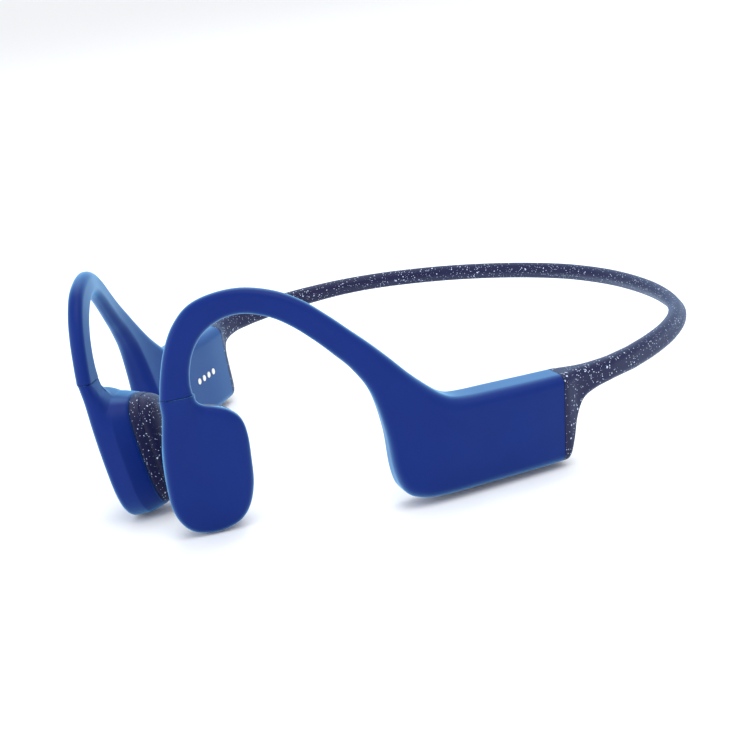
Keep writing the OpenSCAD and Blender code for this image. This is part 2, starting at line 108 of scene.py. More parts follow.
def closed_rows(table: np.ndarray, steps: int) -> np.ndarray:
    """Closed Catmull-Rom curve through a ring of points, with steps places to each point."""
    n = len(table)
    k = np.arange(n * steps) / steps
    i = np.floor(k).astype(int)
    t = (k - i)[:, None]
    a, b, c, d = (table[(i + s) % n] for s in (-1, 0, 1, 2))
    bend = (2 * a - 5 * b + 4 * c - d) * t**2 + (3 * b - a - 3 * c + d) * t**3
    return 0.5 * (2 * b + (c - a) * t + bend)


def unit(v: np.ndarray) -> np.ndarray:
    """The vectors at length one."""
    return v / np.linalg.norm(v, axis=-1, keepdims=True)


def smooth(t: np.ndarray) -> np.ndarray:
    """An even ease from 0 to 1 as t goes from 0 to 1: 3 t squared less 2 t cubed."""
    t = np.clip(t, 0, 1)
    return t * t * (3 - 2 * t)


# ---------- the arm's bent sheet ----------

PLAN_STEP = 10.0
PLAN_FIRST = -30.0
PLAN = np.array(
    [
        [57.8, 29.5], [59.4, 19.6], [60, 9.7], [57.9, -0.2], [54, -9.4], [49.9, -18.5],
        [45.8, -27.6], [41.5, -36.7], [36, -45], [29.3, -52.5], [22.1, -59.4],
        [15.6, -67.1], [10.2, -75.6], [4.6, -83.9],
    ]
)
ARM_LEAN = math.tan(math.radians(4))


def plan(u: np.ndarray) -> np.ndarray:
    """The arm's mid-line in plan, u millimetres forwards from the boot crotch."""
    return cubic_rows(PLAN, (u - PLAN_FIRST) / PLAN_STEP)


def plan_out(u: np.ndarray) -> np.ndarray:
    """The level outward normal of the arm's mid-line at u."""
    t = unit(plan(u + 1) - plan(u - 1))
    return np.stack([-t[:, 1], t[:, 0]], 1)


def bend(u: np.ndarray, z: np.ndarray) -> np.ndarray:
    """Points of the leaned mid-surface: the plan point moved out by z times the lean."""
    q = plan(u) + plan_out(u) * (z * ARM_LEAN)[:, None]
    return np.column_stack([q, z])


def arm_ribs(table: np.ndarray) -> tuple[np.ndarray, ...]:
    """Ribs from rows of [upper u, z, lower u, z, half thickness, edge radius].

    Returns:
        The ribs' centres, half height vectors, half thickness vectors and edge radii.
    """
    top, low = bend(table[:, 0], table[:, 1]), bend(table[:, 2], table[:, 3])
    out = plan_out((table[:, 0] + table[:, 2]) / 2)
    thick = np.column_stack([out, np.zeros(len(out))]) * table[:, 4:5]
    return (top + low) / 2, (top - low) / 2, thick, table[:, 5]


def rib_rings(ribs: tuple[np.ndarray, ...], arc: int, flank: int) -> np.ndarray:
    """Rings round the ribs: a rectangle whose corners are elliptic arcs.

    Args:
        ribs: as arm_ribs gives them.
        arc: steps in a corner.
        flank: steps along each straight side.

    Returns:
        An array of ribs x points x 3.
    """
    centre, high, wide, radius = ribs
    a, b = np.linalg.norm(high, axis=1), np.linalg.norm(wide, axis=1)
    r = np.minimum(radius, np.minimum(a, b) * 0.97)
    ring_x, ring_y = [], []
    for q, (sx, sy) in enumerate([(1, 1), (-1, 1), (-1, -1), (1, -1)]):
        g = np.radians(90 * (q + np.arange(arc + 1) / arc))
        ring_x.append((sx * (a - r))[:, None] + r[:, None] * np.cos(g))
        ring_y.append((sy * (b - r))[:, None] + r[:, None] * np.sin(g))
        share = np.arange(1, flank) / flank
        ax, ay = ring_x[-1][:, -1:], ring_y[-1][:, -1:]
        turn = [(-1, 1), (-1, -1), (1, -1), (1, 1)][q]
        if q % 2 == 0:
            nx, ny = turn[0] * (a - r), turn[1] * b
        else:
            nx, ny = turn[0] * a, turn[1] * (b - r)
        ring_x.append(ax + (nx[:, None] - ax) * share)
        ring_y.append(ay + (ny[:, None] - ay) * share)
    x, y = np.hstack(ring_x)[..., None], np.hstack(ring_y)[..., None]
    return centre[:, None] + unit(high)[:, None] * x + unit(wide)[:, None] * y


# ---------- meshes ----------


def tube_mesh(name: str, rings: np.ndarray, side: Side = Side.LEFT) -> bpy.types.Object:
    """A closed solid through a stack of rings, its two ends closed by fans.

    The rings are mirrored for the right side. Each point keeps its rest place in the attribute
    "rest", so that a pattern stays on the surface when the piece bends.

    Args:
        name: the piece's name.
        rings: rings x points x 3, in millimetres in the design frame.
        side: the side it is for.

    Returns:
        The new object, in the scene.
    """
    if side is Side.RIGHT:
        rings = rings * MIRROR
    count, n = rings.shape[:2]
    ends = np.array([rings[0].mean(0), rings[-1].mean(0)])
    points = (np.vstack([rings.reshape(-1, 3), ends]) + DATUM) * MM
    j = np.arange(n)
    k = (j + 1) % n
    row = (np.arange(count - 1) * n)[:, None]
    quads = np.stack([row + j, row + k, row + k + n, row + j + n], -1).reshape(-1, 4)
    last = (count - 1) * n
    fans = np.vstack(
        [
            np.stack([k, j, np.full(n, count * n)], 1),
            np.stack([last + j, last + k, np.full(n, count * n + 1)], 1),
        ]
    )
    a, b, c = (points[quads[:, i]] for i in (0, 1, 2))
    volume = np.einsum("ij,ij->i", a, np.cross(b, c)).sum()
    if volume < 0:
        quads, fans = quads[:, ::-1], fans[:, ::-1]
    mesh = bpy.data.meshes.new(name)
    mesh.from_pydata(points.tolist(), [], quads.tolist() + fans.tolist())
    attribute = mesh.attributes.new("rest", "FLOAT_VECTOR", "POINT")
    attribute.data.foreach_set("vector", points.astype(np.float32).ravel())
    mesh.shade_smooth()
    mesh.set_sharp_from_angle(angle=math.radians(50))
    piece = bpy.data.objects.new(name, mesh)
    bpy.context.scene.collection.objects.link(piece)
    return piece


def carve(piece: bpy.types.Object, tools: list[bpy.types.Object]) -> None:
    """Cuts each tool out of the piece, keeps the result as the piece's mesh and drops the tools."""
    for tool in tools:
        cut = piece.modifiers.new("cut", "BOOLEAN")
        cut.object, cut.operation, cut.solver = tool, "DIFFERENCE", "EXACT"
    graph = bpy.context.evaluated_depsgraph_get()
    mesh = bpy.data.meshes.new_from_object(piece.evaluated_get(graph))
    piece.modifiers.clear()
    old, piece.data = piece.data, mesh
    mesh.name = old.name
    points = np.zeros(len(mesh.vertices) * 3, np.float32)
    mesh.vertices.foreach_get("co", points)
    rest = mesh.attributes.get("rest") or mesh.attributes.new("rest", "FLOAT_VECTOR", "POINT")
    rest.data.foreach_set("vector", points)
    mesh.set_sharp_from_angle(angle=math.radians(50))
    for tool in tools:
        bpy.data.objects.remove(tool)


# ---------- finishes ----------

# Each row: cells in a metre, the random number a fleck must pass, its reach in cells
FLECK_SIZES = ((1300.0, 0.86, 0.3), (2000.0, 0.78, 0.34), (3000.0, 0.7, 0.36))
FLECK_WARP = 0.55
GRAIN_SCALE = 4200.0
MOTTLE_SCALE = 90.0
MOTTLE_SHARE = 0.6
STREAK_SCALE = 900.0
CRINKLE_SCALE = 700.0

class PatternLibrary:
    """Builds each pattern's node group once, when it is first wanted."""

    def __init__(self) -> None:
        """Starts with no groups."""
        self.groups: dict[Pattern, bpy.types.NodeTree] = {}

    def group(self, pattern: Pattern) -> bpy.types.NodeTree:
        """The node group of a pattern."""
        if pattern not in self.groups:
            self.groups[pattern] = self.build(pattern)
        return self.groups[pattern]

    @staticmethod
    def math(
        tree: bpy.types.NodeTree, kind: str, a: object, b: object = 0.0
    ) -> bpy.types.NodeSocket:
        """A Math node's output; a and b are sockets or numbers."""
        node = tree.nodes.new("ShaderNodeMath")
        node.operation = kind
        for socket, value in zip(node.inputs, (a, b)):
            if isinstance(value, bpy.types.NodeSocket):
                tree.links.new(value, socket)
            else:
                socket.default_value = value
        return node.outputs[0]

    @staticmethod
    def noise(
        tree: bpy.types.NodeTree, vector: bpy.types.NodeSocket, scale: float, detail: float = 3.0
    ) -> bpy.types.NodeSocket:
        """A noise of a fixed scale, about 0.5."""
        node = tree.nodes.new("ShaderNodeTexNoise")
        node.inputs["Scale"].default_value = scale
        node.inputs["Detail"].default_value = detail
        tree.links.new(vector, node.inputs["Vector"])
        return node.outputs["Fac"]

    @staticmethod
    def ramp(
        tree: bpy.types.NodeTree, value: bpy.types.NodeSocket, low: float, high: float
    ) -> bpy.types.NodeSocket:
        """An even step from 0 at low to 1 at high."""
        node = tree.nodes.new("ShaderNodeMapRange")
        node.interpolation_type = "SMOOTHSTEP"
        node.inputs["From Min"].default_value = low
        node.inputs["From Max"].default_value = high
        tree.links.new(value, node.inputs["Value"])
        return node.outputs["Result"]

    @staticmethod
    def stretched(
        tree: bpy.types.NodeTree, vector: bpy.types.NodeSocket, scale: tuple[float, float, float]
    ) -> bpy.types.NodeSocket:
        """The coordinates scaled unevenly."""
        node = tree.nodes.new("ShaderNodeMapping")
        node.inputs["Scale"].default_value = scale
        tree.links.new(vector, node.inputs["Vector"])
        return node.outputs["Vector"]

    def flecks(
        self, tree: bpy.types.NodeTree, vector: bpy.types.NodeSocket
    ) -> bpy.types.NodeSocket:
        """Irregular flecks of three sizes: cells whose own random number is high, cut to a blot."""
        found = None
        for scale, share, size in FLECK_SIZES:
            warp = tree.nodes.new("ShaderNodeVectorMath")
            warp.operation = "MULTIPLY_ADD"
            node = tree.nodes.new("ShaderNodeTexNoise")
            node.inputs["Scale"].default_value = scale * 1.6
            node.inputs["Detail"].default_value = 2.0
            tree.links.new(vector, node.inputs["Vector"])
            tree.links.new(node.outputs["Color"], warp.inputs[0])
            warp.inputs[1].default_value = (FLECK_WARP / scale,) * 3
            tree.links.new(vector, warp.inputs[2])
            cells = tree.nodes.new("ShaderNodeTexVoronoi")
            cells.inputs["Scale"].default_value = scale
            tree.links.new(warp.outputs[0], cells.inputs["Vector"])
            parts = tree.nodes.new("ShaderNodeSeparateColor")
            tree.links.new(cells.outputs["Color"], parts.inputs[0])
            chosen = self.math(tree, "GREATER_THAN", parts.outputs[0], share)
            reach = self.math(tree, "MULTIPLY", parts.outputs[1], size)
            inside = self.math(tree, "LESS_THAN", cells.outputs["Distance"], reach)
            blot = self.math(tree, "MULTIPLY", chosen, inside)
            found = blot if found is None else self.math(tree, "MAXIMUM", found, blot)
        return found

    def build(self, pattern: Pattern) -> bpy.types.NodeTree:
        """Makes a pattern's group.

        Its inputs are the place, two colours, two roughnesses; its outputs the mixed colour and
        roughness, and a height from 0 to 1.
        """
        tree = bpy.data.node_groups.new(pattern.value, "ShaderNodeTree")
        face = tree.interface
        face.new_socket("Place", in_out="INPUT", socket_type="NodeSocketVector")
        face.new_socket("Ground", in_out="INPUT", socket_type="NodeSocketColor")
        face.new_socket("Accent", in_out="INPUT", socket_type="NodeSocketColor")
        face.new_socket("Ground Roughness", in_out="INPUT", socket_type="NodeSocketFloat")
        face.new_socket("Accent Roughness", in_out="INPUT", socket_type="NodeSocketFloat")
        face.new_socket("Color", in_out="OUTPUT", socket_type="NodeSocketColor")
        face.new_socket("Roughness", in_out="OUTPUT", socket_type="NodeSocketFloat")
        face.new_socket("Height", in_out="OUTPUT", socket_type="NodeSocketFloat")
        given = tree.nodes.new("NodeGroupInput")
        made = tree.nodes.new("NodeGroupOutput")
        place = given.outputs["Place"]
        fine = self.noise(tree, place, GRAIN_SCALE)
        broad = self.ramp(tree, self.noise(tree, place, MOTTLE_SCALE), 0.3, 0.7)
        height = fine
        if pattern is Pattern.GRAIN:
            slow = self.math(tree, "MULTIPLY", broad, MOTTLE_SHARE)
            quick = self.math(tree, "MULTIPLY", fine, 1 - MOTTLE_SHARE)
            mask = self.math(tree, "ADD", slow, quick)
        elif pattern is Pattern.FLECKS:
            mask = self.flecks(tree, place)
        elif pattern is Pattern.BRUSHED:
            streaks = self.noise(tree, self.stretched(tree, place, (1, 1, 18)), STREAK_SCALE)
            mask = height = self.ramp(tree, streaks, 0.3, 0.7)
        elif pattern is Pattern.WINDING:
            wave = tree.nodes.new("ShaderNodeTexWave")
            wave.bands_direction = "DIAGONAL"
            wave.inputs["Scale"].default_value = 1300.0
            wave.inputs["Distortion"].default_value = 0.6
            tree.links.new(place, wave.inputs["Vector"])
            mask = height = wave.outputs["Fac"]
        elif pattern is Pattern.TRACES:
            bricks = tree.nodes.new("ShaderNodeTexBrick")
            bricks.inputs["Scale"].default_value = 700.0
            bricks.inputs["Mortar Size"].default_value = 0.05
            bricks.inputs["Color1"].default_value = (0, 0, 0, 1)
            bricks.inputs["Color2"].default_value = (0.15, 0.15, 0.15, 1)
            bricks.inputs["Mortar"].default_value = (1, 1, 1, 1)
            turned = tree.nodes.new("ShaderNodeMapping")
            turned.inputs["Rotation"].default_value = (0, math.radians(90), 0)
            tree.links.new(place, turned.inputs["Vector"])
            tree.links.new(turned.outputs["Vector"], bricks.inputs["Vector"])
            mask = height = bricks.outputs["Fac"]
        else:
            folds = self.noise(tree, place, CRINKLE_SCALE, 6.0)
            mask = height = self.ramp(tree, folds, 0.35, 0.65)
        colour = tree.nodes.new("ShaderNodeMix")
        colour.data_type = "RGBA"
        tree.links.new(mask, colour.inputs["Factor"])
        tree.links.new(given.outputs["Ground"], colour.inputs["A"])
        tree.links.new(given.outputs["Accent"], colour.inputs["B"])
        rough = tree.nodes.new("ShaderNodeMix")
        tree.links.new(mask, rough.inputs["Factor"])
        tree.links.new(given.outputs["Ground Roughness"], rough.inputs["A"])
        tree.links.new(given.outputs["Accent Roughness"], rough.inputs["B"])
        tree.links.new(colour.outputs["Result"], made.inputs["Color"])
        tree.links.new(rough.outputs["Result"], made.inputs["Roughness"])
        tree.links.new(height, made.inputs["Height"])
        return tree


PATTERNS = PatternLibrary()
Rgb = tuple[float, float, float]


@dataclass(frozen=True)
class Finish:
    """One surface finish: a pattern between two colours, how the surface takes light, and an
    optional painted rim highlight.
    """

    name: str
    pattern: Pattern
    ground: Rgb
    accent: Rgb
    roughness: tuple[float, float] = (0.5, 0.6)
    metal: float = 0.0
    bump: float = 0.1
    depth: float = 0.00004
    specular: float = 0.5
    # rim: the colour of a painted rim highlight, mixed into the base colour at grazing angles in
    # place of rim light
    rim: Rgb | None = None
    painted_rim_power: float = 2.2
    coat: float = 0.0
    transmission: float = 0.0
    keeps_rest: bool = False

    def material(self) -> bpy.types.Material:
        """The Blender material of this finish, made when it is first wanted."""
        found = bpy.data.materials.get(self.name)
        return found or self.build()

    def build(self) -> bpy.types.Material:
        """Makes the material: place to pattern, pattern to shader, and a painted rim highlight that
        turns the colour lighter where the surface turns away from the camera.
        """
        material = bpy.data.materials.new(self.name)
        material.use_nodes = True
        tree = material.node_tree
        shader = tree.nodes["Principled BSDF"]
        if self.keeps_rest:
            source = tree.nodes.new("ShaderNodeAttribute")
            source.attribute_name = "rest"
            place = source.outputs["Vector"]
        else:
            place = tree.nodes.new("ShaderNodeTexCoord").outputs["Object"]
        pattern = tree.nodes.new("ShaderNodeGroup")
        pattern.node_tree = PATTERNS.group(self.pattern)
        tree.links.new(place, pattern.inputs["Place"])
        pattern.inputs["Ground"].default_value = (*self.ground, 1)
        pattern.inputs["Accent"].default_value = (*self.accent, 1)
        pattern.inputs["Ground Roughness"].default_value = self.roughness[0]
        pattern.inputs["Accent Roughness"].default_value = self.roughness[1]
        colour = pattern.outputs["Color"]
        # Painted rim highlight: the base colour is mixed towards the rim colour as the surface
        # turns away from the camera
        if self.rim is not None:
            weight = tree.nodes.new("ShaderNodeLayerWeight")
            weight.inputs["Blend"].default_value = 0.5
            power = tree.nodes.new("ShaderNodeMath")
            power.operation = "POWER"
            power.inputs[1].default_value = self.painted_rim_power
            tree.links.new(weight.outputs["Facing"], power.inputs[0])
            painted_rim_mix = tree.nodes.new("ShaderNodeMix")
            painted_rim_mix.data_type = "RGBA"
            tree.links.new(power.outputs[0], painted_rim_mix.inputs["Factor"])
            tree.links.new(colour, painted_rim_mix.inputs["A"])
            painted_rim_mix.inputs["B"].default_value = (*self.rim, 1)
            colour = painted_rim_mix.outputs["Result"]
        tree.links.new(colour, shader.inputs["Base Color"])
        tree.links.new(pattern.outputs["Roughness"], shader.inputs["Roughness"])
        bump = tree.nodes.new("ShaderNodeBump")
        bump.inputs["Strength"].default_value = self.bump
        bump.inputs["Distance"].default_value = self.depth
        tree.links.new(pattern.outputs["Height"], bump.inputs["Height"])
        tree.links.new(bump.outputs["Normal"], shader.inputs["Normal"])
        shader.inputs["Metallic"].default_value = self.metal
        shader.inputs["Specular IOR Level"].default_value = self.specular
        shader.inputs["Coat Weight"].default_value = self.coat
        shader.inputs["Transmission Weight"].default_value = self.transmission
        return material

    def dress(self, piece: bpy.types.Object) -> None:
        """Puts the material in the piece's slot."""
        if not piece.material_slots:
            piece.data.materials.append(None)
        for place in piece.material_slots:
            place.material = self.material()


# Its rim colour is a painted sky-blue rim highlight, lighter at grazing angles
SOFT_TOUCH = Finish(
    "royal blue soft touch", Pattern.GRAIN, (0.002, 0.016, 0.14), (0.003, 0.02, 0.16),
    (0.38, 0.44), bump=0.12, specular=0.12, rim=(0.12, 0.42, 0.75), painted_rim_power=3.0,
)
# Its rim colour is a painted dusky-blue rim highlight, lighter at grazing angles
SPECKLED = Finish(
    "speckled navy silicone", Pattern.FLECKS, (0.006, 0.007, 0.045), (0.55, 0.66, 0.82),
    (0.5, 0.42), bump=0.1, specular=0.25, rim=(0.04, 0.1, 0.22), painted_rim_power=3.0,
    keeps_rest=True,
)
FINISHES: dict[str, Finish] = {
    "speckled_rubber": SPECKLED,
    "soft_skin": SOFT_TOUCH,
    "spring_metal": Finish(
        "drawn memory metal", Pattern.BRUSHED, (0.5, 0.51, 0.54), (0.62, 0.63, 0.66),
        (0.25, 0.4), metal=1.0,
    ),
    "cable_jacket": Finish(
        "matt cable jacket", Pattern.GRAIN, (0.01, 0.01, 0.012), (0.02, 0.02, 0.023), (0.55, 0.7)
    ),
    "case_plastic": Finish(
        "textured dark plastic", Pattern.GRAIN, (0.014, 0.014, 0.018), (0.028, 0.028, 0.034),
        (0.5, 0.68), bump=0.35,
    ),
    "foil": Finish(
        "cell pouch foil", Pattern.CRINKLE, (0.42, 0.44, 0.47), (0.55, 0.57, 0.6),
        (0.25, 0.45), metal=0.9, bump=0.5, depth=0.0001,
    ),
    "foam": Finish(
        "closed-cell foam", Pattern.CRINKLE, (0.01, 0.01, 0.012), (0.03, 0.03, 0.034),
        (0.85, 0.95), bump=0.6,
    ),
    "board": Finish(
        "green solder mask", Pattern.TRACES, (0.01, 0.1, 0.03), (0.05, 0.24, 0.08),
        (0.25, 0.35), coat=0.4,
    ),
    "chip": Finish(
        "moulded chip package", Pattern.GRAIN, (0.012, 0.012, 0.013), (0.026, 0.026, 0.028),
        (0.45, 0.6), bump=0.3,
    ),
    "switch_metal": Finish(
        "stamped sheet steel", Pattern.BRUSHED, (0.42, 0.43, 0.45), (0.55, 0.56, 0.58),
        (0.3, 0.45), metal=1.0,
    ),
    "light_plastic": Finish(
        "frosted light pipe", Pattern.GRAIN, (0.72, 0.78, 0.85), (0.82, 0.86, 0.9),
        (0.3, 0.4), coat=0.3, transmission=0.4,
    ),
    "contact_metal": Finish(
        "plated contact", Pattern.BRUSHED, (0.8, 0.77, 0.68), (0.88, 0.86, 0.8),
        (0.28, 0.4), metal=0.75,
    ),
    "magnet": Finish(
        "nickel plated magnet", Pattern.BRUSHED, (0.5, 0.5, 0.52), (0.62, 0.62, 0.63),
        (0.18, 0.3), metal=1.0,
    ),
    "copper": Finish(
        "enamelled copper winding", Pattern.WINDING, (0.55, 0.2, 0.07), (0.75, 0.34, 0.14),
        (0.3, 0.4), metal=0.9, bump=0.6,
    ),
}
FLOOR_FINISH = Finish(
    "pale floor", Pattern.GRAIN, (0.9, 0.9, 0.91), (0.92, 0.92, 0.93), (0.8, 0.9), bump=0.02
)


# ---------- the pieces ----------


@dataclass
class Arm:
    """A pod with its over-ear hook, one soft skin down to the transducer's seam."""

    side: Side
    rows: tuple[tuple[float, ...], ...] = (
        (7.2, 7.1, 8.4, -11.8, 4.3, 2.2), (14, 7.3, 15, -11.8, 4.6, 2.4),
        (22, 7.6, 25, -11.8, 4.6, 2.4), (27, 7.8, 34, -11.8, 4.6, 2.5),
        (30.4, 8.2, 39.7, -11.2, 4.5, 2.6), (32.6, 9.1, 43.1, -9.2, 4.3, 2.6),
        (34.9, 10.9, 44.6, -4.6, 3.8, 2.6), (38.6, 14.5, 45.2, 4, 3.2, 2.4),
        (42.2, 18.6, 46.9, 12.4, 2.6, 2.1), (45.7, 22.4, 49.8, 17.9, 2.2, 1.8),
        (49.2, 25.9, 52.8, 21.6, 1.9, 1.6), (52.8, 29.5, 56, 25.1, 1.75, 1.5),
        (57, 33.2, 59.6, 28.4, 1.7, 1.5), (62, 36, 63.4, 30.9, 1.65, 1.5),
        (68, 37.4, 68.2, 32.3, 1.6, 1.45), (74, 37.1, 72.6, 31.9, 1.6, 1.45),
        (79, 35.4, 76.4, 29.9, 1.6, 1.45), (82.6, 31.9, 78.9, 27, 1.6, 1.45),
        (85, 27.2, 80.3, 23.7, 1.6, 1.45), (86.5, 22, 80.9, 20.4, 1.6, 1.45),
        (87.3, 18, 80.8, 18, 1.6, 1.45),
    )
    steps: int = 7
    arc: int = 10
    flank: int = 6

    def build(self) -> list[bpy.types.Object]:
        """Makes, carves and dresses the skin."""
        table = np.array(self.rows)
        k = np.linspace(0, len(table) - 1, (len(table) - 1) * self.steps + 1)
        rings = rib_rings(arm_ribs(cubic_rows(table, k)), self.arc, self.flank)
        name = self.side.value
        skin = tube_mesh(f"{name}_arm_shell", rings, self.side)
        if self.side is Side.RIGHT:
            carve(skin, Controls().cutters())
        SOFT_TOUCH.dress(skin)
        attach(skin, f"{name}_arm")
        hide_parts(f"{name}_arm_skin")
        return [skin]


@dataclass
class Controls:
    """The keys, light and contacts on the wearer's right pod, in the pod's own frame."""

    pod_u: float = 22.4
    pod_z: float = -2.2
    pod_yaw: float = 23.9
    key_size: tuple[float, float, float] = (2.6, 4.4, 1.0)
    key_pitch: float = 5.6
    key_face: float = -9.4
    opening_z: tuple[float, float] = (-11.2, -8.0)
    groove_z: float = -9.1
    groove: tuple[float, float] = (4.2, 25.0)
    light_y: float = 11.4
    pin_y: float = 1.9
    pin_pitch: float = 2.6
    pin_d: float = 1.5
    pin_inner: float = -4.72
    pin_depth: float = -3.0
    gap: float = 0.15
    key_edge: float = 0.3
    key_power: float = 6
    light_d: float = 1.35

    def place(self, points: np.ndarray) -> np.ndarray:
        """Points of the pod's frame in the design frame: leaned about Y, turned about Z, moved."""
        lean, yaw = math.atan(ARM_LEAN), math.radians(-self.pod_yaw)
        turn = np.array(Matrix.Rotation(yaw, 3, "Z") @ Matrix.Rotation(lean, 3, "Y"))
        centre = bend(np.array([self.pod_u]), np.array([self.pod_z]))[0]
        return points @ turn.T + centre

    def key_ys(self) -> list[float]:
        """The keys' places along the pod."""
        return [(i - 1.5) * self.key_pitch for i in range(4)]

    def pillow(
        self, name: str, size: tuple[float, float], span: tuple[float, float], edge: float,
        power: float, y: float,
    ) -> bpy.types.Object:
        """A soft-edged block: superellipse rings of a level outline stacked from low to high.

        Args:
            name: the piece's name.
            size: its X and Y sizes.
            span: its lowest Z, which has the soft edge, and its highest.
            edge: the soft edge's radius.
            power: the outline's superellipse power.
            y: its place along the pod.

        Returns:
            The mirrored piece.
        """
        g = np.linspace(0, 2 * math.pi, 72, endpoint=False)
        c, s = np.cos(g), np.sin(g)
        wave = np.stack([c, s], 1)
        outline = np.sign(wave) * np.abs(wave) ** (2 / power)
        t = np.linspace(0.05, math.pi / 2, 8)
        insets = np.append(edge * (1 - np.sin(t)), 0.0)
        heights = np.append(span[0] + edge * (1 - np.cos(t)), span[1])
        half = np.array(size) / 2
        rings = np.stack(
            [
                np.column_stack([outline * (half - i), np.full(len(g), z)])
                for i, z in zip(insets, heights)
            ]
        )
        rings[..., 1] += y
        return tube_mesh(name, self.place(rings.reshape(-1, 3)).reshape(rings.shape), Side.RIGHT)

    def pin(self, name: str, index: int, inner: float, outer: float, d: float) -> bpy.types.Object:
        """A round contact or its hole, along the pod's X."""
        g = np.linspace(0, 2 * math.pi, 40, endpoint=False)
        x = np.array([inner, inner + 0.03, inner + 0.12, outer])
        r = d / 2 - np.array([0.22, 0.08, 0.0, 0.0])
        y = self.pin_y + (index - 1.5) * self.pin_pitch
        rings = np.stack(
            [
                np.column_stack([np.full(len(g), a), y + b * np.cos(g), b * np.sin(g)])
                for a, b in zip(x, r)
            ]
        )
        return tube_mesh(name, self.place(rings.reshape(-1, 3)).reshape(rings.shape), Side.RIGHT)

    def cutters(self) -> list[bpy.types.Object]:
        """The groove, key openings and contact holes as cutting tools."""
        gap = 2 * self.gap
        groove = (self.groove_z - 2, self.groove_z)
        tools = [self.pillow("cut_groove", self.groove, groove, 0.2, 9, 0)]
        opening = (self.key_size[0] + gap, self.key_size[1] + gap)
        tools += [
            self.pillow(f"cut_key_{i}", opening, self.opening_z, 0.1, self.key_power, y)
            for i, y in enumerate(self.key_ys())
        ]
        light = (self.opening_z[0], self.opening_z[1] - 0.2)
        tools.append(
            self.pillow("cut_light", (self.light_d, self.light_d), light, 0.1, 2, self.light_y)
        )
        tools += [self.pin(f"cut_pin_{i}", i, -6.0, -3.9, self.pin_d + 0.16) for i in range(4)]
        return tools

    def build(self) -> list[bpy.types.Object]:
        """Makes the keys and the contacts' bright heads."""
        made = []
        width, length, depth = self.key_size
        span = (self.key_face, self.key_face + depth)
        for body, y in zip(("volume_up", "volume_down", "mode", "play"), self.key_ys()):
            key = self.pillow(
                f"{body}_cap", (width, length), span, self.key_edge, self.key_power, y
            )
            SOFT_TOUCH.dress(key)
            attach(key, body)
            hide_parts(f"{body}_key")
            made.append(key)
        for i in range(4):
            head = self.pin(f"contact_head_{i + 1}", i, self.pin_inner, self.pin_depth, self.pin_d)
            FINISHES["contact_metal"].dress(head)
            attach(head, "right_arm")
            made.append(head)
        return made


@dataclass
class NeckbandHalf:
    """Half of the speckled sleeve: the boot behind a pod and the band to behind the neck."""

    side: Side
    boot_rows: tuple[tuple[float, ...], ...] = (
        (7.1, 7.1, 8.3, -11.8, 4.3, 2.2), (6.3, 7.1, 6.7, -11.4, 4.1, 2.1),
        (5, 7.1, 5.4, -8.6, 3.5, 2), (3.5, 7.1, 4, -3.8, 2.8, 1.8),
        (1.3, 7, 1.9, -0.2, 2.3, 1.7), (-2, 6.9, -1.7, 1.3, 2, 1.6),
        (-6.6, 6.9, -6.5, 1.9, 1.75, 1.5),
    )
    line: tuple[tuple[float, ...], ...] = (
        (60.3, 13, 4.4), (59.6, 22, 4.5), (57.6, 31.5, 4.5), (53.8, 41.2, 4.5), (47.8, 50, 4.4),
        (38.9, 57.9, 4.3), (29, 64, 4.2), (17, 69.2, 4), (5, 71.75, 3.9), (-5, 71.75, 3.9),
        (-17, 69.2, 4),
    )
    height: tuple[float, float] = (5.0, 4.5)
    width: float = 3.2
    roll: float = 37.0
    bend_from: tuple[float, float, float] = (12.0, 70.6, 3.9)
    bend_to: tuple[float, float, float] = (40.0, 57.2, 4.3)

    def band_ribs(self, k: np.ndarray) -> tuple[np.ndarray, ...]:
        """Ribs of the band: its section leans more and gets lower towards the middle."""
        line = np.array(self.line)
        centre = cubic_rows(line, k)
        t = unit(cubic_rows(line, k + 0.05) - cubic_rows(line, k - 0.05))
        out = unit(np.cross(t, UP))
        up = unit(np.cross(out, t))
        share = smooth(k / 4)
        roll = np.radians(self.roll * share)[:, None]
        high = (self.height[0] + (self.height[1] - self.height[0]) * share)[:, None] / 2
        wide = self.width / 2
        return (
            centre,
            (up * np.cos(roll) - out * np.sin(roll)) * high,
            (out * np.cos(roll) + up * np.sin(roll)) * wide,
            np.full(len(k), wide * 0.95),
        )

    def flex(self, piece: bpy.types.Object) -> None:
        """Bakes a piece's placement into its mesh; nothing is blended across this side's flex
        joint.
        """
        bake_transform(piece)

    def build(self) -> list[bpy.types.Object]:
        """Makes the half, dresses it and bakes its placement into its mesh."""
        table = np.array(self.boot_rows)
        boot = arm_ribs(cubic_rows(table, np.linspace(0, 6, 49)))
        band = self.band_ribs(np.linspace(0, 8.5, 120))
        ribs = tuple(np.concatenate([a, b]) for a, b in zip(boot, band))
        name = self.side.value
        half = tube_mesh(f"{name}_neckband_half", rib_rings(ribs, 9, 5), self.side)
        SPECKLED.dress(half)
        self.flex(half)
        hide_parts(f"{name}_neckband_sleeve", "neckband_centre_sleeve")
        return [half]


